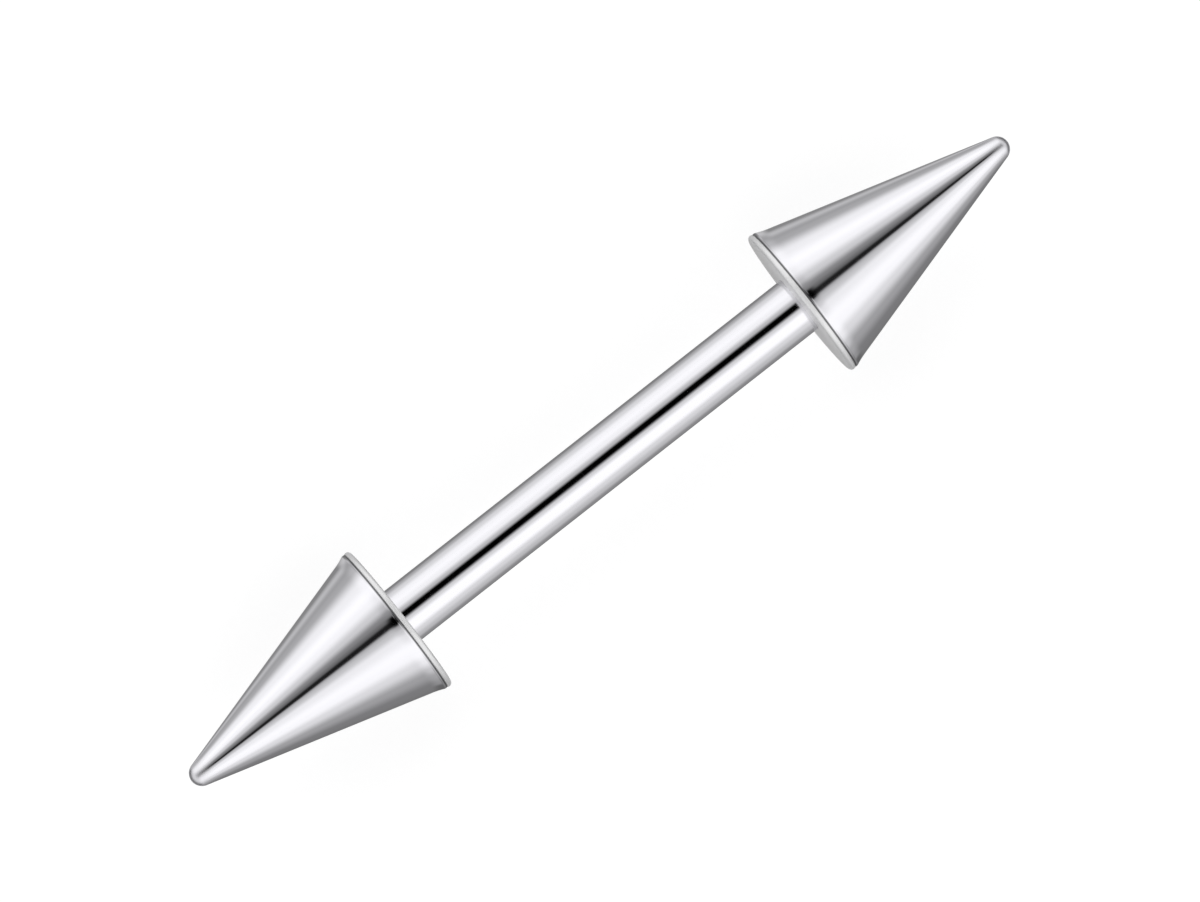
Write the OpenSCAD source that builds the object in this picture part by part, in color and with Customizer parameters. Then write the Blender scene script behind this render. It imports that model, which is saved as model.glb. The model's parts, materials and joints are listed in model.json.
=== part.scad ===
// Straight piercing barbell: a steel bar with a long cone end on each threaded stud.
// It lies by itself on its two rims. The floor is z = 0, the bar runs along X,
// and the origin is on the floor under the middle of the bar.

/* [Bar] */
// Diameter of the bar, 14 gauge
bar_d = 1.6; // [1.2:0.1:1.6]
// Wearable length of the bar, from one cone end's flat face to the other's
wear_l = 13.2; // [6:0.1:38]

/* [Cone ends] */
// Diameter of a cone end at its rim, where it is widest
rim_d = 4.4; // [4:0.1:8]
// Angle between the cone's axis and its side
side_angle = 15.9; // [12:0.1:18]
// Radius of the rounded tip
tip_r = 0.34; // [0.2:0.01:0.5]
// Length of the last stretch of side that flares out to the rim
flare_l = 0.3; // [0.1:0.05:0.6]
// Angle that the flare adds to the side's own angle at the rim
flare_angle = 9; // [2:1:12]
// Radius of the rolled lip between the side and the flat face
lip_r = 0.1; // [0.08:0.01:0.12]
// How far the lip stands out past the rounded edge of the side
lip_step = 0.01; // [0.005:0.005:0.015]
// Radius of the rounded edge where the flare turns in behind the lip
edge_r = 0.1; // [0.05:0.01:0.2]

/* [Thread] */
// Pitch of the fine thread on the studs
pitch = 0.35; // [0.25:0.05:0.35]
// Number of turns of thread on each stud
turns = 8; // [5:1:8]
// How much smaller the thread's radius is than the bar's
thread_step = 0.04; // [0.03:0.01:0.08]
// Radial clearance between the thread and the hole in the cone end
clearance = 0.03; // [0.02:0.01:0.06]

/* [Hidden] */
$fn = 96;

bar_r = bar_d / 2;
rim_r = rim_d / 2;
axis_z = rim_r;

// Thread: 60 degree flanks that meet in sharp crests, with a flat of p/4 in each root
thread_r = bar_r - thread_step;
thread_half_angle = 30;
root_flat = pitch / 4;
flank_l = (pitch - root_flat) / 2;
thread_depth = flank_l / tan(thread_half_angle);
root_r = thread_r - thread_depth;
relief_end = wear_l / 2 + thread_step + thread_depth;
stud_start = relief_end + root_flat;
stud_end = stud_start + turns * pitch + root_flat;

// Hole in a cone end: a mouth with a countersink, a straight wall, and the drill's point
hole_r = thread_r + clearance;
hole_depth = stud_end - wear_l / 2 + 0.25;
countersink = 0.02;
drill_half_angle = 59;
drill_point_l = hole_r / tan(drill_half_angle);
overcut = 0.01;

// Side of a cone end, worked out from the lip towards the tip. The lip's arc and the
// edge's arc meet in a fine groove, which shows as the dark line round the rim.
groove_angle = 40;
groove_depth = lip_r * (1 - cos(groove_angle));
edge_turn = acos(1 - (groove_depth - lip_step) / edge_r);
flare_r = flare_l / (sin(side_angle + flare_angle) - sin(side_angle));
flare_rise = flare_r * (cos(side_angle) - cos(side_angle + flare_angle));
lip_centre = [rim_r - lip_r, lip_r];
groove_l = lip_r * (1 + sin(groove_angle));
edge_centre = [rim_r - lip_step - edge_r, groove_l + edge_r * sin(edge_turn)];
edge_end = arc_point(edge_centre, edge_r, side_angle + flare_angle);
side_base = [edge_end[0] - flare_rise, edge_end[1] + flare_l];
flare_centre = arc_point(side_base, flare_r, side_angle);
apex_l = side_base[1] + side_base[0] / tan(side_angle);
tip_centre_l = apex_l - tip_r / sin(side_angle);

// A point at an angle on a circle, and a row of such points along an arc.
// Outlines are [radius, distance along the axis] pairs.
function arc_point(centre, r, angle) = centre + r * [cos(angle), sin(angle)];
function arc(centre, r, from, to, steps) =
    [for (i = [0:steps]) arc_point(centre, r, from + (to - from) * i / steps)];
function flipped(points) =
    [for (i = [len(points) - 1:-1:0]) [points[i][0], -points[i][1]]];

// One turn of thread: up the near flank to the crest and down the far flank
function thread_turn(start) = [
    [root_r, start],
    [thread_r, start + flank_l],
    [root_r, start + 2 * flank_l]
];

// Half of the bar, from its middle out: shank, shoulder, relief, thread and chamfered end
function half_bar_outline() = concat(
    [[bar_r, wear_l / 2], [thread_r, wear_l / 2 + thread_step], [root_r, relief_end]],
    [for (i = [0:turns - 1]) each thread_turn(stud_start + i * pitch)],
    [[root_r, stud_end - thread_depth / 2], [root_r - thread_depth / 2, stud_end]]
);

// A cone end from its flat face to its tip: lip, rounded edge, flare, straight side and tip
function cone_outline() = concat(
    [[0, 0]],
    arc(lip_centre, lip_r, -90, groove_angle, 10),
    arc(edge_centre, edge_r, -edge_turn, side_angle + flare_angle, 5),
    arc(flare_centre, flare_r, 180 + side_angle + flare_angle, 180 + side_angle, 5),
    arc([0, tip_centre_l], tip_r, side_angle, 90, 10)
);

module threaded_hole() {
    translate([0, 0, -overcut]) cylinder(r = hole_r, h = hole_depth + overcut);
    translate([0, 0, hole_depth]) cylinder(r1 = hole_r, r2 = 0, h = drill_point_l);
    translate([0, 0, -overcut])
        cylinder(r1 = hole_r + countersink + overcut, r2 = hole_r, h = countersink + overcut);
}

module cone_end() {
    difference() {
        rotate_extrude() polygon(cone_outline());
        threaded_hole();
    }
}

module placed_left() {
    translate([-wear_l / 2, 0, axis_z]) rotate([0, -90, 0]) children();
}

module bar() {
    half = half_bar_outline();
    color("gainsboro") translate([0, 0, axis_z]) rotate([0, 90, 0])
        rotate_extrude() polygon(concat([[0, -stud_end]], flipped(half), half, [[0, stud_end]]));
}

module left_cone() {
    color("silver") placed_left() cone_end();
}

module right_cone() {
    color("silver") mirror([1, 0, 0]) placed_left() cone_end();
}

bar();
left_cone();
right_cone();
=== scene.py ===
# %% [markdown]
# A straight piercing barbell, dressed for the camera
#
# The real thing is three pieces of surgical steel: a bar with a threaded stud on each
# end, and two long cone ends that screw onto the studs. All of it is polished until
# it mirrors the room, so most of what the eye reads is the shape of the reflections.
# That sets the order of this lesson: exact smooth surfaces first, then a finish with
# just enough wear to look like metal, and then a studio worth reflecting.

# %% Load the frame
import json
import math

import bmesh
import bpy
from mathutils import Matrix, Vector


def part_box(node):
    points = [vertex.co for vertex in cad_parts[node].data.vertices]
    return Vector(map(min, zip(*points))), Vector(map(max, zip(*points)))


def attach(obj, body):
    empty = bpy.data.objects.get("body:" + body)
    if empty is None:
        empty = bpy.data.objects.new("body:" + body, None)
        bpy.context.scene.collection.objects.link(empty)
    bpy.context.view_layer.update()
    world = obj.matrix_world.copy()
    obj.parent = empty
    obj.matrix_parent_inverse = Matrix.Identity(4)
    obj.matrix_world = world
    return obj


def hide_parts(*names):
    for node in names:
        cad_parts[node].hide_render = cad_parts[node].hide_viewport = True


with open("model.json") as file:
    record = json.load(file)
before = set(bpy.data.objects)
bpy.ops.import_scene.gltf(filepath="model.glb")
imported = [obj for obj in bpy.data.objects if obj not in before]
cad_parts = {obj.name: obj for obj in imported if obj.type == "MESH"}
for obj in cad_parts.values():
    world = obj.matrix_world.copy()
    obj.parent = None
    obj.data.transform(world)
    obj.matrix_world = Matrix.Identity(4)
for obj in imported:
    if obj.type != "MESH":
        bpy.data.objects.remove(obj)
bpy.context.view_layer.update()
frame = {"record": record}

# %% [markdown]
# The measures
#
# Blender works in metres, and jewellery is measured in millimetres, so every size below
# is a number of millimetres times MM. The bar's gauge, the wearable length and the height
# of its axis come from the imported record, and the tips from the frame. Typed in again they
# could drift from the solids. What neither says, such as the pitch of the thread, is named
# once, in the cell that first needs it.

# %% Read the main sizes
MM = 0.001
bar_mount = next(mount for mount in frame["record"]["mounts"] if mount["name"] == "bar")
BAR_R = bar_mount["dims"]["r_mm"] * MM
FACE_X = bar_mount["dims"]["length_mm"] * MM / 2
AXIS_Z = bar_mount["pos_m"][2]
RIM_R = AXIS_Z
TIP_X = max(corner[0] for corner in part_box("right_cone"))
print(f"bar radius {BAR_R / MM:.2f} mm, face at {FACE_X / MM:.2f} mm, tip at {TIP_X / MM:.3f} mm")

# %% [markdown]
# Turned surfaces
#
# Every piece here is turned on a lathe, so every surface is a row of rings round one
# axis. Blender's Spin tool or a Screw modifier could sweep an outline round, but a thread
# and a plain collar then end in ragged edges that have to be trimmed and joined. Here
# the rings are written straight into a mesh as bands of quads. Bands that share an edge
# are stitched afterwards by merging the points that coincide, so each piece ends up as
# one closed skin.

# %% Skin bands of rings
SEGMENTS = 144
MERGE_DISTANCE = 0.00005 * MM
CREASE_ANGLE = math.radians(30)


def around(segment):
    """The angle of a segment about the axis, by the right-hand rule about +X."""
    return 2 * math.pi * segment / SEGMENTS


def on_axis(x, radius, angle):
    """A point at a radius and angle about the barbell's axis."""
    return Vector((x, radius * math.cos(angle), AXIS_Z + radius * math.sin(angle)))


def ring(radius, x):
    """One plain ring of points."""
    return [on_axis(x, radius, around(segment)) for segment in range(SEGMENTS)]


def add_band(mesh, rings, slot=0, rings_per_turn=0):
    """Skins rings with quads. On a thread each turn climbs by rings_per_turn rings."""
    points = [[mesh.verts.new(point) for point in row] for row in rings]
    last = len(points) - 1
    for row in range(last):
        for segment in range(SEGMENTS):
            climb = rings_per_turn if segment == SEGMENTS - 1 else 0
            following = (segment + 1) % SEGMENTS
            low = min(row + climb, last)
            high = min(row + climb + 1, last)
            corners = [points[row][segment], points[row + 1][segment]]
            corners += [points[high][following], points[low][following]]
            # Where a thread is cut off square, two corners can be one, which leaves a triangle
            corners = list(dict.fromkeys(corners))
            if len(corners) > 2:
                mesh.faces.new(corners).material_index = slot


def half_turned(mesh):
    """Turns a copy of everything half round about the vertical. Threads keep their hand."""
    copied = bmesh.ops.duplicate(mesh, geom=mesh.verts[:] + mesh.edges[:] + mesh.faces[:])
    points = [part for part in copied["geom"] if isinstance(part, bmesh.types.BMVert)]
    bmesh.ops.rotate(mesh, verts=points, matrix=Matrix.Rotation(math.pi, 3, "Z"))


def finished_piece(name, mesh):
    """Stitches the bands, points the faces outwards and makes the object."""
    bmesh.ops.remove_doubles(mesh, verts=mesh.verts, dist=MERGE_DISTANCE)
    bmesh.ops.recalc_face_normals(mesh, faces=mesh.faces)
    open_edges = sum(1 for edge in mesh.edges if not edge.is_manifold)
    data = bpy.data.meshes.new(name)
    mesh.to_mesh(data)
    mesh.free()
    data.shade_smooth()
    data.set_sharp_from_angle(angle=CREASE_ANGLE)
    piece = bpy.data.objects.new(name, data)
    bpy.context.scene.collection.objects.link(piece)
    print(f"{name}: {len(data.polygons)} faces, {open_edges} open edges")
    return piece


print(f"{SEGMENTS} points round each ring, {360 / SEGMENTS:.1f} degrees apart")

# %% [markdown]
# The thread
#
# The studs are threaded all the way, with a fine 60 degree V of 0.35 mm pitch. A stack of
# plain rings would pass at a glance, but a real thread leans, and the lean shows as soon
# as a cone end is off. Each row of this mesh follows the helix, so the crest stays one
# clean line, and the rows are cut off square where the thread starts and stops. The same
# curve, moved out by the clearance, taps the hole in the cone end, so stud and hole mesh.

# %% Shape of the thread
PITCH = 0.35 * MM
TURNS = 8
THREAD_STEP = 0.04 * MM
CLEARANCE = 0.03 * MM
ROOT_FLAT = PITCH / 4
FLANK_ANGLE = math.radians(30)
RINGS_PER_TURN = 16

thread_depth = (PITCH - ROOT_FLAT) / 2 / math.tan(FLANK_ANGLE)
thread_r = BAR_R - THREAD_STEP
root_r = thread_r - thread_depth
relief_end = FACE_X + THREAD_STEP + thread_depth
thread_start = relief_end + ROOT_FLAT
stud_end = thread_start + TURNS * PITCH + ROOT_FLAT


def thread_radius(x, angle):
    """The stud's radius at a place along the axis and an angle about it."""
    turn = ((x - thread_start) / PITCH - angle / (2 * math.pi)) % 1
    flank = (1 - ROOT_FLAT / PITCH) / 2
    return root_r + thread_depth * max(0, 1 - abs(turn - 0.5) / flank)


def helical_rings(start, end, radius_at):
    """Rings that follow the thread from a turn before its start, cut off square at both ends."""
    turns = math.ceil((end - start) / PITCH) + 1
    rings = []
    for row in range(turns * RINGS_PER_TURN + 1):
        points = []
        for segment in range(SEGMENTS):
            climbed = (row / RINGS_PER_TURN - 1 + segment / SEGMENTS) * PITCH
            x = min(max(start + climbed, start), end)
            points.append(on_axis(x, radius_at(x, around(segment)), around(segment)))
        rings.append(points)
    return rings


print(f"stud: {2 * thread_r / MM:.2f} mm over the crests, {2 * root_r / MM:.2f} mm in the roots")

# %% [markdown]
# The bar
#
# A bar like this is cut from drawn wire, ground to gauge, and threaded at both ends. A
# narrow relief is turned behind the thread so that the cone end can seat, and the stud's
# end is chamfered so that it finds the hole. One half is built from the middle outwards,
# and the other is the same half turned round, as on the real bar: a mirrored half would
# have a left-handed thread. Two finishes are kept apart by material slot, the polished
# shank and the cut thread.

# %% Make the bar
SHANK_RINGS = 10
end_r = root_r - thread_depth / 2


def stud_radius(x, angle):
    """The thread, chamfered where it starts and where the stud ends."""
    return min(thread_radius(x, angle), root_r + (x - thread_start), end_r + (stud_end - x))


def make_bar():
    mesh = bmesh.new()
    shank = [ring(BAR_R, FACE_X * step / SHANK_RINGS) for step in range(SHANK_RINGS + 1)]
    add_band(mesh, shank)
    relief = [ring(BAR_R, FACE_X), ring(thread_r, FACE_X + THREAD_STEP)]
    relief += [ring(root_r, relief_end), ring(root_r, thread_start)]
    add_band(mesh, relief, slot=1)
    thread = helical_rings(thread_start, stud_end, stud_radius)
    add_band(mesh, thread, slot=1, rings_per_turn=RINGS_PER_TURN)
    add_band(mesh, [ring(end_r, stud_end), ring(0, stud_end)], slot=1)
    half_turned(mesh)
    return finished_piece("polished_bar", mesh)


polished_bar = make_bar()

# %% [markdown]
# The cone ends
#
# A cone end is turned from rod: a long straight side, a rounded tip that won't scratch,
# and at the wide end a slight flare and a rounded edge. Then comes a fine groove, which
# the photo shows as a dark line round the rim, and a thin round lip beside the flat face.
# A subdivision surface would need support loops to hold the groove and would soften the
# straight side, so the outline is drawn as arcs and straight lines that run into each
# other, with more points where the reflections bend fast.

# %% Draw the outline of a cone end
LIP_R = 0.1 * MM
LIP_STEP = 0.01 * MM
GROOVE_ANGLE = math.radians(40)
EDGE_R = 0.1 * MM
FLARE_LENGTH = 0.3 * MM
TIP_R = 0.34 * MM
SIDE_ANGLE = math.radians(15.9)
FLARE_ANGLE = math.radians(9)
LIP_STEPS = 20
EDGE_STEPS = 20
FLARE_STEPS = 12
SIDE_STEPS = 12
TIP_STEPS = 24


def arc(centre, radius, start, end, steps):
    """Points (radius, distance from the flat face) along an arc, both ends included."""
    angles = [start + (end - start) * step / steps for step in range(steps + 1)]
    return [(centre[0] + radius * math.cos(a), centre[1] + radius * math.sin(a)) for a in angles]


def line(start, end, steps):
    """Points between two others, without the ends."""
    shares = [step / steps for step in range(1, steps)]
    return [tuple(a + (b - a) * share for a, b in zip(start, end)) for share in shares]


def lip_outline():
    """The round lip, from the edge of the flat face to the bottom of the groove."""
    return arc((RIM_R - LIP_R, LIP_R), LIP_R, -math.pi / 2, GROOVE_ANGLE, LIP_STEPS)


def side_outline(groove):
    """The rest of a cone end's outside, from the groove to the tip."""
    flared = SIDE_ANGLE + FLARE_ANGLE
    edge_turn = math.acos(1 - (RIM_R - groove[0] - LIP_STEP) / EDGE_R)
    edge_centre = (RIM_R - LIP_STEP - EDGE_R, groove[1] + EDGE_R * math.sin(edge_turn))
    edge = arc(edge_centre, EDGE_R, -edge_turn, flared, EDGE_STEPS)
    flare_r = FLARE_LENGTH / (math.sin(flared) - math.sin(SIDE_ANGLE))
    flare_rise = flare_r * (math.cos(SIDE_ANGLE) - math.cos(flared))
    side_start = (edge[-1][0] - flare_rise, edge[-1][1] + FLARE_LENGTH)
    flare_centre = (
        side_start[0] + flare_r * math.cos(SIDE_ANGLE),
        side_start[1] + flare_r * math.sin(SIDE_ANGLE),
    )
    flare = arc(flare_centre, flare_r, math.pi + flared, math.pi + SIDE_ANGLE, FLARE_STEPS)
    tip_centre = TIP_X - FACE_X - TIP_R
    tip = arc((0, tip_centre), TIP_R, SIDE_ANGLE, math.pi / 2, TIP_STEPS)
    return edge + flare[1:] + line(flare[-1], tip[0], SIDE_STEPS) + tip


lip = lip_outline()
side = side_outline(lip[-1])
groove_at = FACE_X + lip[-1][1]
print(f"cone end: {len(lip)} points round the lip, {len(side)} from the groove to the tip")

# %% [markdown]
# The hole in each cone end is drilled, tapped and slightly countersunk, so that the bar's
# shoulder still covers its mouth. It is hidden at rest, but it shows as soon as the cone
# end is off, so it has its full thread down to the drill's point. The flat face and the
# lip share a slot of their own, for their finish. As on the bar, the second cone end is
# the first one turned round.

# %% Make the cone ends
COUNTERSINK = 0.02 * MM
HOLE_SPARE = 0.25 * MM
DRILL_HALF_ANGLE = math.radians(59)

mouth_r = thread_r + CLEARANCE + COUNTERSINK
tapped_r = root_r + CLEARANCE
hole_end = stud_end + HOLE_SPARE


def hole_radius(x, angle):
    """The tapped wall, opened by the countersink and closing in at the bottom."""
    wall = max(thread_radius(x, angle) + CLEARANCE, mouth_r - (x - FACE_X))
    return min(wall, tapped_r + (hole_end - x))


def make_cone(name, turned_round):
    mesh = bmesh.new()
    add_band(mesh, [ring(mouth_r, FACE_X), ring(lip[0][0], FACE_X)], slot=2)
    add_band(mesh, [ring(r, FACE_X + x) for r, x in lip], slot=2)
    add_band(mesh, [ring(r, FACE_X + x) for r, x in side])
    wall = helical_rings(FACE_X, hole_end, hole_radius)
    add_band(mesh, wall, slot=1, rings_per_turn=RINGS_PER_TURN)
    drill_point = hole_end + tapped_r / math.tan(DRILL_HALF_ANGLE)
    add_band(mesh, [ring(tapped_r, hole_end), ring(0, drill_point)], slot=1)
    if turned_round:
        bmesh.ops.rotate(mesh, verts=mesh.verts, matrix=Matrix.Rotation(math.pi, 3, "Z"))
    return finished_piece(name, mesh)


right_spike = make_cone("right_spike", turned_round=False)
left_spike = make_cone("left_spike", turned_round=True)

# %% [markdown]
# Which body each piece belongs to
#
# Each piece stands for the node of the same shape and moves with its body, so a cone end
# takes its thread and its finish along when it comes off.

# %% Hang the pieces on the frame
pieces = {
    "bar": (polished_bar, "bar_steel"),
    "left_cone": (left_spike, "cone_steel"),
    "right_cone": (right_spike, "cone_steel"),
}
for node_name, (piece, steel_slot) in pieces.items():
    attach(piece, node_name)
    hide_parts(node_name)
    print(f"{piece.name} stands for {node_name}, in {steel_slot}")

# %% [markdown]
# Nodes in one line each
#
# The steels and the studio are made of the same few nodes over and over: a sum, a range,
# a blend, some noise. By hand in the editor they are quick to place, but a script that
# spells out every socket is long and hides what is meant. So each common node gets a
# small function that places it, feeds it and gives back what comes out. An input takes
# either a plain value or the output of another node.

# %% Place and feed nodes
def feed(tree, socket, value):
    """Links a socket to another node's output, or sets it to a plain value."""
    if isinstance(value, bpy.types.NodeSocket):
        tree.links.new(value, socket)
    else:
        socket.default_value = value


def feed_named(tree, node, values):
    """Feeds a node's inputs by name. Returns its outputs."""
    for name, value in values.items():
        feed(tree, node.inputs[name], value)
    return node.outputs


def place_node(tree, kind, values=(), **settings):
    """Places a node with its settings, and feeds its first inputs in their order."""
    node = tree.nodes.new(kind)
    for setting, value in settings.items():
        setattr(node, setting, value)
    for socket, value in zip(node.inputs, values):
        feed(tree, socket, value)
    return node


def math_node(tree, operation, *values):
    """A Math node's result."""
    return place_node(tree, "ShaderNodeMath", values, operation=operation).outputs[0]


def vector_node(tree, operation, *values):
    """A Vector Math node's outputs, Vector and Value."""
    return place_node(tree, "ShaderNodeVectorMath", values, operation=operation).outputs


def split_place(tree, place):
    """The X, Y and Z of a place."""
    return place_node(tree, "ShaderNodeSeparateXYZ", (place,)).outputs


def remap(tree, value, from_min, from_max, to_min=0.0, to_max=1.0, smooth=False):
    """A value moved from one range to another, and held within it."""
    shape = "SMOOTHSTEP" if smooth else "LINEAR"
    values = (value, from_min, from_max, to_min, to_max)
    node = place_node(tree, "ShaderNodeMapRange", values, interpolation_type=shape)
    return node.outputs["Result"]


def blend_colors(tree, share, first, second):
    """A blend of two colours. On a Mix node they are inputs 6 and 7, and the blend is output 2."""
    node = place_node(tree, "ShaderNodeMix", data_type="RGBA")
    for index, value in ((0, share), (6, first), (7, second)):
        feed(tree, node.inputs[index], value)
    return node.outputs[2]


def noise_of(tree, place, scale, detail, roughness):
    """The value of plain fractal noise."""
    node = place_node(tree, "ShaderNodeTexNoise")
    inputs = {"Vector": place, "Scale": scale, "Detail": detail, "Roughness": roughness}
    return feed_named(tree, node, inputs)[0]


def new_group(name, inputs, outputs):
    """A shader node group. Returns its tree, its given values and the node for its results."""
    tree = bpy.data.node_groups.new(name, "ShaderNodeTree")
    for socket, kind, default in inputs:
        made = tree.interface.new_socket(name=socket, in_out="INPUT", socket_type=kind)
        if default is not None:
            made.default_value = default
    for socket, kind in outputs:
        tree.interface.new_socket(name=socket, in_out="OUTPUT", socket_type=kind)
    given = place_node(tree, "NodeGroupInput").outputs
    return tree, given, place_node(tree, "NodeGroupOutput")


def use_group(tree, group, inputs):
    """Places a node group and feeds its inputs by name. Returns its outputs."""
    return feed_named(tree, place_node(tree, "ShaderNodeGroup", node_tree=group), inputs)


print("placed in one line: Math, Vector Math, Separate XYZ, Map Range, Mix, Noise, groups")

# %% [markdown]
# What polishing leaves behind
#
# Mirror steel is never quite perfect. Close up it has hairlines from the polishing wheel.
# Every finish here uses such lines at its own scale, so they are a shader node group with
# named inputs. They could be a painted image texture, but noise in the nodes stays sharp
# at any distance and needs no unwrapping. The lines are noise squeezed across one
# direction and stretched along the other, and then cut down to its peaks.

# %% Build the hairlines
LINE_DETAIL = 3.0
LINE_FINENESS = 0.65
NO_LINES_BELOW = 0.72
FULL_COVERAGE_LOWERS = 0.4
LINE_EDGE = 0.12


def build_hairlines():
    """Cells Per Metre says how many cells of noise a metre holds along each axis."""
    tree, given, results = new_group(
        "polishing_hairlines",
        [
            ("Place", "NodeSocketVector", None),
            ("Cells Per Metre", "NodeSocketVector", (4000.0, 200.0, 200.0)),
            ("Coverage", "NodeSocketFloat", 0.3),
        ],
        [("Lines", "NodeSocketFloat"), ("Height", "NodeSocketFloat")],
    )
    squeezed = vector_node(tree, "MULTIPLY", given["Place"], given["Cells Per Metre"])["Vector"]
    streaks = noise_of(tree, squeezed, 1.0, LINE_DETAIL, LINE_FINENESS)
    lowered = math_node(tree, "MULTIPLY", given["Coverage"], FULL_COVERAGE_LOWERS)
    cut = math_node(tree, "SUBTRACT", NO_LINES_BELOW, lowered)
    lines = remap(tree, streaks, cut, math_node(tree, "ADD", cut, LINE_EDGE))
    feed_named(tree, results, {"Lines": lines, "Height": streaks})
    return tree


hairlines = build_hairlines()
print("group:", hairlines.name)

# %% [markdown]
# A cloth that wipes polished metal leaves a haze in soft patches, which the eye only
# notices where it breaks up a reflection. It is a group too, with the size of a patch as
# its input. Noise without detail would give patches as well, but too round and even.

# %% Build the haze
HAZE_DETAIL = 2.0
HAZE_FINENESS = 0.5
CLEAR_BELOW = 0.35
HAZY_ABOVE = 0.75


def build_haze():
    """Soft cloudy patches of a given size in metres."""
    tree, given, results = new_group(
        "wiping_haze",
        [("Place", "NodeSocketVector", None), ("Patch Size", "NodeSocketFloat", 2 * MM)],
        [("Haze", "NodeSocketFloat")],
    )
    patches_per_metre = math_node(tree, "DIVIDE", 1.0, given["Patch Size"])
    clouds = noise_of(tree, given["Place"], patches_per_metre, HAZE_DETAIL, HAZE_FINENESS)
    patches = remap(tree, clouds, CLEAR_BELOW, HAZY_ABOVE, smooth=True)
    feed_named(tree, results, {"Haze": patches})
    return tree


haze = build_haze()
print("group:", haze.name)

# %% [markdown]
# The groove round a rim shows as a fine dark line. Its dark is painted shade: a dark colour
# laid into the groove where shade falls. It could be a thin ring of its own material,
# but a mask over the steels on both sides of the groove keeps its edges soft. The mask
# measures how far a place lies from the groove along the axis.

# %% Build the seam
def build_seam():
    """A line round the axis, at a distance from the middle of the bar."""
    tree, given, results = new_group(
        "painted_shade_in_seam",
        [
            ("Place", "NodeSocketVector", None),
            ("Seam From Middle", "NodeSocketFloat", 7 * MM),
            ("Half Width", "NodeSocketFloat", 0.03 * MM),
        ],
        [("Seam", "NodeSocketFloat")],
    )
    from_middle = math_node(tree, "ABSOLUTE", split_place(tree, given["Place"])["X"])
    past_seam = math_node(tree, "SUBTRACT", from_middle, given["Seam From Middle"])
    away = math_node(tree, "ABSOLUTE", past_seam)
    nearness = remap(tree, away, 0.0, given["Half Width"], 1.0, 0.0, smooth=True)
    feed_named(tree, results, {"Seam": nearness})
    return tree


seam = build_seam()
print("group:", seam.name)

# %% [markdown]
# The mirror steel
#
# The mirror finish is a metallic Principled shader with a very low roughness. Painting
# highlights on would fix them in place, so gloss comes from the shader and the lights
# alone. The haze and the hairlines only nudge the roughness and the bump: on a mirror, a
# slope of a fraction of a degree already shows. The shank was ground and buffed round its
# axis, and so were the cone ends, so their lines run round.

# %% Make the bar's steel
MIRROR_COLOR = (0.87, 0.865, 0.9, 1.0)
MIRROR_ROUGHNESS = 0.055
MIRROR_COVERAGE = 0.25
MIRROR_LINES_ADD = 0.04
HAZE_ADDS = 0.025
MIRROR_RELIEF = 0.00012 * MM
ROUND_THE_BAR = (9000.0, 500.0, 500.0)
BAR_PATCH = 1.5 * MM


def steel(name, color):
    """A metallic material. Returns it with its tree, its shader and the place on the object."""
    material = bpy.data.materials.new(name)
    material.use_nodes = True
    tree = material.node_tree
    shader = tree.nodes["Principled BSDF"]
    shader.inputs["Metallic"].default_value = 1.0
    shader.inputs["Base Color"].default_value = color
    place = place_node(tree, "ShaderNodeTexCoord").outputs["Object"]
    return material, tree, shader, place


def add_hairlines(tree, shader, place, cells_per_metre, coverage, relief):
    """Bumps a steel with hairlines of a depth in metres. Returns where the lines are."""
    inputs = {"Place": place, "Cells Per Metre": cells_per_metre, "Coverage": coverage}
    lines = use_group(tree, hairlines, inputs)
    bump = feed_named(tree, place_node(tree, "ShaderNodeBump"), {
        "Distance": relief, "Height": lines["Height"],
    })
    tree.links.new(bump["Normal"], shader.inputs["Normal"])
    return lines["Lines"]


def roughen(tree, shader, mask, added):
    """Adds to the roughness that a steel has, as far as the mask goes."""
    socket = shader.inputs["Roughness"]
    so_far = socket.links[0].from_socket if socket.is_linked else socket.default_value
    tree.links.new(math_node(tree, "MULTIPLY_ADD", mask, added, so_far), socket)


def mirror_steel(name, cells_per_metre, patch_size):
    """Polished steel with its hairlines and haze. Returns what steel() does."""
    material, tree, shader, place = steel(name, MIRROR_COLOR)
    shader.inputs["Roughness"].default_value = MIRROR_ROUGHNESS
    lines = add_hairlines(tree, shader, place, cells_per_metre, MIRROR_COVERAGE, MIRROR_RELIEF)
    roughen(tree, shader, lines, MIRROR_LINES_ADD)
    wiped = use_group(tree, haze, {"Place": place, "Patch Size": patch_size})
    roughen(tree, shader, wiped["Haze"], HAZE_ADDS)
    return material, tree, shader, place


bar_steel = mirror_steel("mirror_steel_bar", ROUND_THE_BAR, BAR_PATCH)[0]
print("finish:", bar_steel.name)

# %% [markdown]
# The cone ends have the same polish with two marks of their own: painted shade in the groove,
# and points that are a little duller, because so small a rounding is finished by hand.
# Each is added over the finished steel, so what the polish does stays in one place.

# %% Make the cone ends' steel
ROUND_THE_CONE = (7000.0, 350.0, 350.0)
CONE_PATCH = 2.5 * MM
# Painted shade: a dark colour laid into the groove round each rim, with added roughness
SEAM_SHADE_COLOR = (0.13, 0.13, 0.135, 1.0)
SEAM_ROUGHNESS_ADDS = 0.3
SEAM_AT = groove_at + 0.012 * MM
SEAM_HALF_WIDTH = 0.045 * MM
WEAR_STARTS = TIP_X - 0.8 * MM
WORN_FROM = TIP_X - 0.2 * MM
WEAR_ADDS = 0.3


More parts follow.
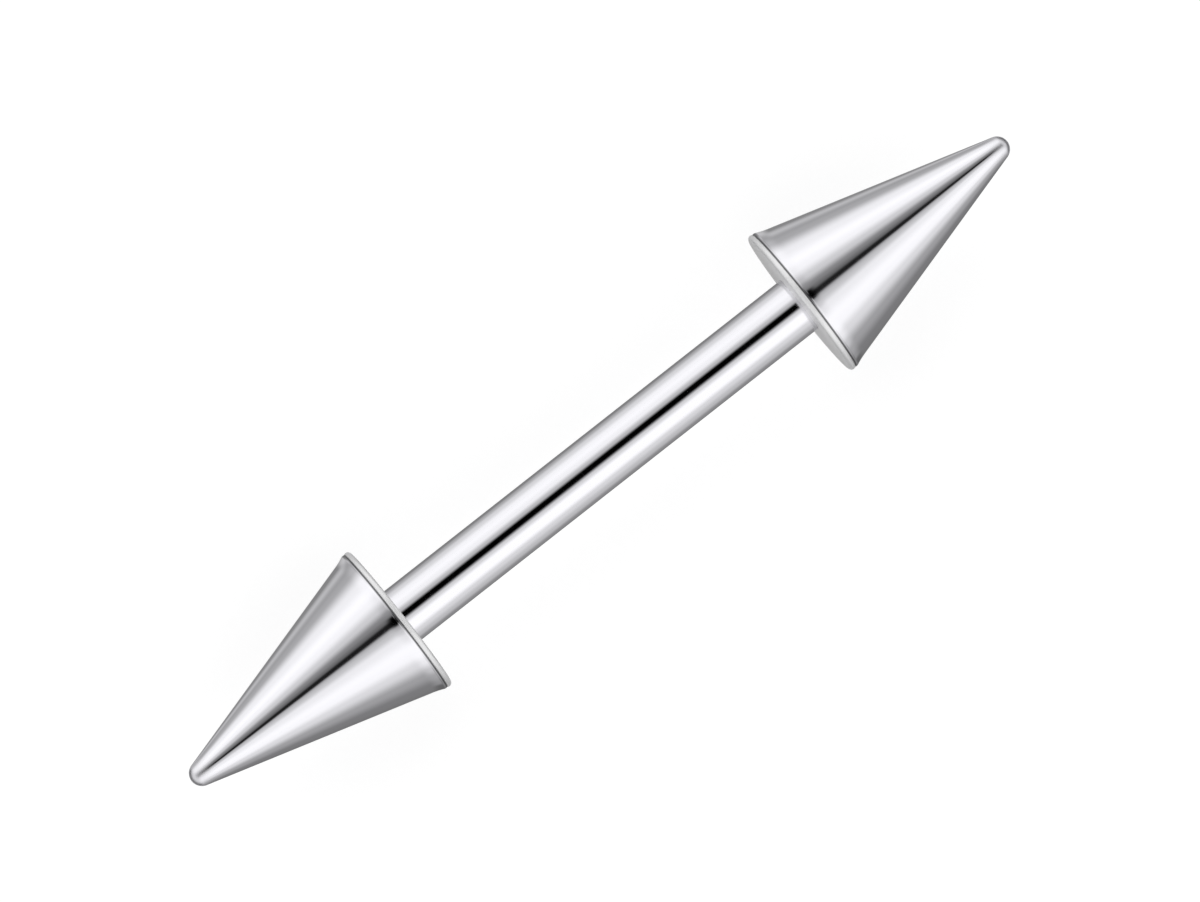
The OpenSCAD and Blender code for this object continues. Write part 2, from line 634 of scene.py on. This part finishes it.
def paint_shade_in_seam(tree, shader, place):
    """Paints shade into the groove of a cone end's steel: a dark colour, and more roughness."""
    inputs = {"Place": place, "Seam From Middle": SEAM_AT, "Half Width": SEAM_HALF_WIDTH}
    seam_shade = use_group(tree, seam, inputs)["Seam"]
    unshaded_color = tuple(shader.inputs["Base Color"].default_value)
    color = blend_colors(tree, seam_shade, unshaded_color, SEAM_SHADE_COLOR)
    tree.links.new(color, shader.inputs["Base Color"])
    roughen(tree, shader, seam_shade, SEAM_ROUGHNESS_ADDS)


def dull_the_tip(tree, shader, place):
    """Dulls a cone end's steel towards its point."""
    from_middle = math_node(tree, "ABSOLUTE", split_place(tree, place)["X"])
    roughen(tree, shader, remap(tree, from_middle, WEAR_STARTS, WORN_FROM), WEAR_ADDS)


def make_cone_steel():
    material, tree, shader, place = mirror_steel("mirror_steel_cone", ROUND_THE_CONE, CONE_PATCH)
    paint_shade_in_seam(tree, shader, place)
    dull_the_tip(tree, shader, place)
    return material


cone_steel = make_cone_steel()
print("finish:", cone_steel.name)

# %% [markdown]
# The satin steel
#
# The thin lip shows no clear reflection in the photo, so it and the flat face beside it
# are satin, as the lathe left them. A lathe's lines run round the axis on any surface: on
# the lip they follow each other along the axis, and on the flat face outwards from it. So
# the hairlines are laid against the sum of both distances, which serves either one.

# %% Make the steel of the lip and the flat face
SATIN_COLOR = (0.98, 0.98, 0.985, 1.0)
SATIN_ROUGHNESS = 0.6
TURNING_LINES = (20000.0, 400.0, 400.0)
TURNING_COVERAGE = 0.5
TURNING_ADDS = 0.1
TURNING_RELIEF = 0.0006 * MM


def unrolled(tree, place):
    """The place, with its distance from the barbell's axis added to its X."""
    at = split_place(tree, place)
    above = math_node(tree, "SUBTRACT", at["Z"], AXIS_Z)
    squares = [math_node(tree, "POWER", distance, 2.0) for distance in (at["Y"], above)]
    from_axis = math_node(tree, "SQRT", math_node(tree, "ADD", *squares))
    along_and_out = math_node(tree, "ADD", at["X"], from_axis)
    return place_node(tree, "ShaderNodeCombineXYZ", (along_and_out, at["Y"], at["Z"])).outputs[0]


def make_face_steel():
    material, tree, shader, place = steel("satin_steel_face", SATIN_COLOR)
    shader.inputs["Roughness"].default_value = SATIN_ROUGHNESS
    turning = unrolled(tree, place)
    lines = add_hairlines(tree, shader, turning, TURNING_LINES, TURNING_COVERAGE, TURNING_RELIEF)
    roughen(tree, shader, lines, TURNING_ADDS)
    # Painted shade in the groove reaches the lip's side of it too
    paint_shade_in_seam(tree, shader, place)
    return material


face_steel = make_face_steel()
print("finish:", face_steel.name)

# %% [markdown]
# The cut steel
#
# A thread is cut with a die, and its hole with a tap, and neither is polished afterwards.
# Both are duller than the shank, with fine lines round them and darker patches where oil
# has stayed. The patches could be painted as vertex colours, but the haze at a smaller
# size makes them too.

# %% Make the steel of the threads
CUT_COLOR = (0.72, 0.72, 0.75, 1.0)
OILED_COLOR = (0.5, 0.5, 0.51, 1.0)
OIL_PATCH = 0.6 * MM
CUT_ROUGHNESS = 0.16
CUT_LINES = (30000.0, 900.0, 900.0)
CUT_COVERAGE = 0.6
CUT_LINES_ADD = 0.12
CUT_RELIEF = 0.0006 * MM


def make_thread_steel():
    material, tree, shader, place = steel("cut_steel_thread", CUT_COLOR)
    shader.inputs["Roughness"].default_value = CUT_ROUGHNESS
    lines = add_hairlines(tree, shader, place, CUT_LINES, CUT_COVERAGE, CUT_RELIEF)
    roughen(tree, shader, lines, CUT_LINES_ADD)
    oiled = use_group(tree, haze, {"Place": place, "Patch Size": OIL_PATCH})["Haze"]
    color = blend_colors(tree, oiled, CUT_COLOR, OILED_COLOR)
    tree.links.new(color, shader.inputs["Base Color"])
    return material


thread_steel = make_thread_steel()
print("finish:", thread_steel.name)

# %% [markdown]
# Each piece takes its materials in the order of the slot numbers that its bands were
# skinned with: the polished outside, then what is cut, then the lip and the flat face.

# %% Put the finishes on the pieces
finishes = {
    polished_bar: (bar_steel, thread_steel),
    left_spike: (cone_steel, thread_steel, face_steel),
    right_spike: (cone_steel, thread_steel, face_steel),
}
for piece, materials in finishes.items():
    for material in materials:
        piece.data.materials.append(material)
    print(piece.name, [material.name for material in piece.data.materials])

# %% [markdown]
# The floor
#
# The barbell lies on a plain white sheet, resting on its two rims. The sheet glows a
# little, as a light table does, which keeps the contact shadows faint. It is hidden from
# reflections, because the studio below already holds what the underside should mirror.

# %% Lay the floor
FLOOR_SIZE = 3.0
FLOOR_SQUARES = 8
SHEET_COLOR = (0.42, 0.42, 0.42, 1.0)
SHEET_ROUGHNESS = 0.9
SHEET_GLOW = 0.75


def make_sheet_material():
    material = bpy.data.materials.new("white_sheet")
    material.use_nodes = True
    shader = material.node_tree.nodes["Principled BSDF"]
    shader.inputs["Base Color"].default_value = SHEET_COLOR
    shader.inputs["Roughness"].default_value = SHEET_ROUGHNESS
    shader.inputs["Specular IOR Level"].default_value = 0.0
    shader.inputs["Emission Color"].default_value = (1.0, 1.0, 1.0, 1.0)
    shader.inputs["Emission Strength"].default_value = SHEET_GLOW
    return material


def make_floor():
    mesh = bmesh.new()
    bmesh.ops.create_grid(
        mesh, x_segments=FLOOR_SQUARES, y_segments=FLOOR_SQUARES, size=FLOOR_SIZE / 2
    )
    data = bpy.data.meshes.new("light_table")
    mesh.to_mesh(data)
    mesh.free()
    floor = bpy.data.objects.new("light_table", data)
    bpy.context.scene.collection.objects.link(floor)
    floor.visible_glossy = False
    data.materials.append(make_sheet_material())
    print(f"{floor.name}: {FLOOR_SIZE:.0f} m across")


make_floor()

# %% [markdown]
# The camera
#
# The photo looks down on the barbell almost square to it, with the axis climbing 38
# degrees across the picture. Both rims bulge towards the bar there, so both tips seem to
# lean towards the lens. No straight bar can do that, and turning it far enough to curve
# one rim would show the other cone's flat face, so the camera leans only a little. With
# the camera held level, slope and lean leave one elevation. A very long lens keeps both
# ends the same size, as the photo does.

# %% Place the camera
FRAME_WIDTH = 1200
FRAME_HEIGHT = 902
AXIS_SLOPE = math.radians(38.11)
TIP_LEAN = math.radians(3)
PIXELS_PER_MM = 38.4
MIDDLE_PIXEL = (599.85, 460.89)
LENS = 800.0
SENSOR = 36.0
CLIP_START = 0.01
CLIP_END = 20.0

elevation = math.atan2(math.sin(AXIS_SLOPE), math.tan(TIP_LEAN))
bar_in_view = Vector((
    math.cos(TIP_LEAN) * math.cos(AXIS_SLOPE),
    math.cos(TIP_LEAN) * math.sin(AXIS_SLOPE),
    -math.sin(TIP_LEAN),
))
up_in_view = Vector((0, math.cos(elevation), math.sin(elevation)))
side_in_view = up_in_view.cross(bar_in_view)
world_to_view = Matrix((bar_in_view, side_in_view, up_in_view)).transposed()
view_to_world = world_to_view.transposed()


def make_camera():
    data = bpy.data.cameras.new("camera")
    data.lens = LENS
    data.sensor_width = SENSOR
    data.clip_start = CLIP_START
    data.clip_end = CLIP_END
    camera = bpy.data.objects.new("camera", data)
    bpy.context.scene.collection.objects.link(camera)
    distance = LENS / SENSOR * FRAME_WIDTH / PIXELS_PER_MM * MM
    off_centre = Vector((FRAME_WIDTH / 2 - MIDDLE_PIXEL[0], MIDDLE_PIXEL[1] - FRAME_HEIGHT / 2, 0))
    from_middle = off_centre * (MM / PIXELS_PER_MM) + Vector((0, 0, distance))
    place = Vector((0, 0, AXIS_Z)) + view_to_world @ from_middle
    camera.matrix_world = Matrix.Translation(place) @ view_to_world.to_4x4()
    bpy.context.scene.camera = camera
    print(f"camera {distance:.3f} m away, {math.degrees(elevation):.1f} degrees up")


make_camera()

# %% [markdown]
# The studio
#
# A polished rod shows the whole room squeezed into its width. The photo's room reads as
# two long soft lights, one on each side of the lens and parallel to the bar, with the
# dark of the lens between them and a dimmer surround below. Area lights could stand
# there, but panels near the set get in the way of other views. So the room is written
# into the World, as brightness by direction. Each direction is named by the slope of a
# surface that mirrors it to the lens, because slopes are what a picture of turned metal
# shows: across the bar they run from -90 to 90 degrees, and along the bar they say which
# part it is. The bar has slope 0, a cone's side has its own angle, and the flare by the
# rim is steeper, so each of the three has a ramp of brightness against the slope across.
# The stops were set at the turning points of the brightness measured across
# each part in the photo.

# %% Describe the long lights
# Each stop is a slope across the bar, in degrees, and a brightness. The upper left is below 0
ON_BAR = [
    (-90, 0.12), (-70, 0.22), (-63, 0.38), (-50, 0.67), (-38, 0.92), (-30, 0.96), (-20, 0.88),
    (-10, 0.47), (-4, 0.0), (3, 0.0), (10, 0.65), (19, 1.0), (30, 1.0), (42, 0.67), (55, 0.49),
    (68, 0.25), (90, 0.12),
]
ON_SIDE = [
    (-90, 0.15), (-75, 0.22), (-65, 0.48), (-58, 0.34), (-52, 0.38), (-38, 0.86), (-28, 1.0),
    (-21, 0.92), (-13, 0.6), (-6.5, 0.22), (-3.5, 0.14), (-1, 0.01), (1.2, 0.01), (3.8, 0.44),
    (6, 0.54), (12, 0.84), (22, 0.98), (28, 0.95), (37, 0.7), (50, 0.34), (65, 0.19), (90, 0.15),
]
BY_RIM = [
    (-90, 0.3), (-73, 0.5), (-62, 0.34), (-52, 0.46), (-38, 0.93), (-28, 0.97), (-20, 0.85),
    (-12, 0.49), (-8, 0.27), (-5.5, 0.2), (-3.3, 0.0), (2.4, 0.0), (4.6, 0.38), (8, 0.57),
    (13, 0.78), (22, 0.98), (30, 0.97), (37, 0.84), (46, 0.55), (54, 0.36), (65, 0.27), (72, 0.12),
    (90, 0.1),
]

# Slopes along the bar, in degrees, over which one part gives way to the next
BAR_TO_SIDE = (1, 6)
SIDE_TO_RIM = (16.5, 24)
RIM_TO_TIP = (25.5, 34)


def ramp_across(tree, across, stops):
    """Brightness against the slope across the bar, as a ramp from -90 to 90 degrees."""
    node = place_node(tree, "ShaderNodeValToRGB", (across,))
    ramp = node.color_ramp
    ramp.interpolation = "EASE"
    while len(ramp.elements) < len(stops):
        ramp.elements.new(0.5)
    for element, (degrees, value) in zip(ramp.elements, stops):
        element.position = (degrees + 90) / 180
        element.color = (value, value, value, 1.0)
    return node.outputs["Color"]


print("stops on the bar, on a side and by a rim:", len(ON_BAR), len(ON_SIDE), len(BY_RIM))

# %% [markdown]
# Only the tips, the round lips and the flat faces slope more than the flare does. They see
# the rest of the room: pale above, a dark floor round the table, and the table itself,
# which lies lit under everything. The further a surface turns from the lens, the lower it
# looks, so all of this goes by that one angle.

# %% Describe the rest of the room
PALE_ROOM = (0.66, 0.66, 0.66, 1.0)
DARK_FLOOR = (0.04, 0.04, 0.04, 1.0)
LIT_TABLE = (0.68, 0.68, 0.68, 1.0)

# Degrees turned away from the lens, from where a change starts to where it is complete. The
# first two are for what slopes more than the flare, and the last is for every part
TO_FLOOR = (47, 56)
FLOOR_TO_TABLE = (64, 80)
TO_TABLE = (82.5, 87.5)

towards_lens = view_to_world @ Vector((0, 0, 1))
upright = Vector((0, towards_lens.y, towards_lens.z)).normalized()
towards_lower_right = Vector((1, 0, 0)).cross(upright)


def along(tree, direction, axis):
    """How far a direction points along an axis."""
    return vector_node(tree, "DOT_PRODUCT", direction, axis)["Value"]


def fade(tree, degrees, limits, first, second):
    """A blend from one brightness to another between two limits in degrees."""
    return blend_colors(tree, remap(tree, degrees, *limits, smooth=True), first, second)


def room_brightness(tree):
    """The studio's brightness in the direction that a ray goes."""
    direction = place_node(tree, "ShaderNodeTexCoord").outputs["Generated"]
    # A surface that mirrors this direction to the lens has its normal halfway between the two
    halfway = vector_node(tree, "ADD", direction, towards_lens)["Vector"]
    normal = vector_node(tree, "NORMALIZE", halfway)["Vector"]
    to_side = along(tree, normal, towards_lower_right)
    angle = math_node(tree, "ARCTAN2", to_side, along(tree, normal, upright))
    across = remap(tree, angle, -math.pi / 2, math.pi / 2)
    slope = math_node(tree, "ARCSINE", along(tree, normal, (1, 0, 0)))
    lengthways = math_node(tree, "DEGREES", math_node(tree, "ABSOLUTE", slope))
    from_lens = math_node(tree, "ARCCOSINE", along(tree, normal, towards_lens))
    turned_away = math_node(tree, "DEGREES", from_lens)

    floor = fade(tree, turned_away, FLOOR_TO_TABLE, DARK_FLOOR, LIT_TABLE)
    tip = fade(tree, turned_away, TO_FLOOR, PALE_ROOM, floor)
    room = ramp_across(tree, across, ON_BAR)
    room = fade(tree, lengthways, BAR_TO_SIDE, room, ramp_across(tree, across, ON_SIDE))
    room = fade(tree, lengthways, SIDE_TO_RIM, room, ramp_across(tree, across, BY_RIM))
    room = fade(tree, lengthways, RIM_TO_TIP, room, tip)
    return fade(tree, turned_away, TO_TABLE, room, LIT_TABLE)


print("direction to the lens:", [round(value, 3) for value in towards_lens])

# %% [markdown]
# The World then gives the room to every reflection, and a plain backdrop to the camera. A
# photographer would cut the backdrop out afterwards, and a compositor could do the same.
# Here a Light Path node tells the two kinds of ray apart, so nothing has to be cut.

# %% Light the studio
LIGHT_STRENGTH = 1.15
PLAIN_BACKDROP = (0.985, 0.985, 0.985, 1.0)


def light_studio():
    world = bpy.data.worlds.new("studio")
    bpy.context.scene.world = world
    world.use_nodes = True
    tree = world.node_tree
    tree.nodes.clear()
    room = (room_brightness(tree), LIGHT_STRENGTH)
    studio = place_node(tree, "ShaderNodeBackground", room).outputs[0]
    backdrop = place_node(tree, "ShaderNodeBackground", (PLAIN_BACKDROP,)).outputs[0]
    seen_by_camera = place_node(tree, "ShaderNodeLightPath").outputs["Is Camera Ray"]
    chosen = place_node(tree, "ShaderNodeMixShader", (seen_by_camera, studio, backdrop))
    place_node(tree, "ShaderNodeOutputWorld", (chosen.outputs[0],))
    print(f"{world.name}: {len(tree.nodes)} nodes")


light_studio()
bpy.context.scene.view_settings.view_transform = "Standard"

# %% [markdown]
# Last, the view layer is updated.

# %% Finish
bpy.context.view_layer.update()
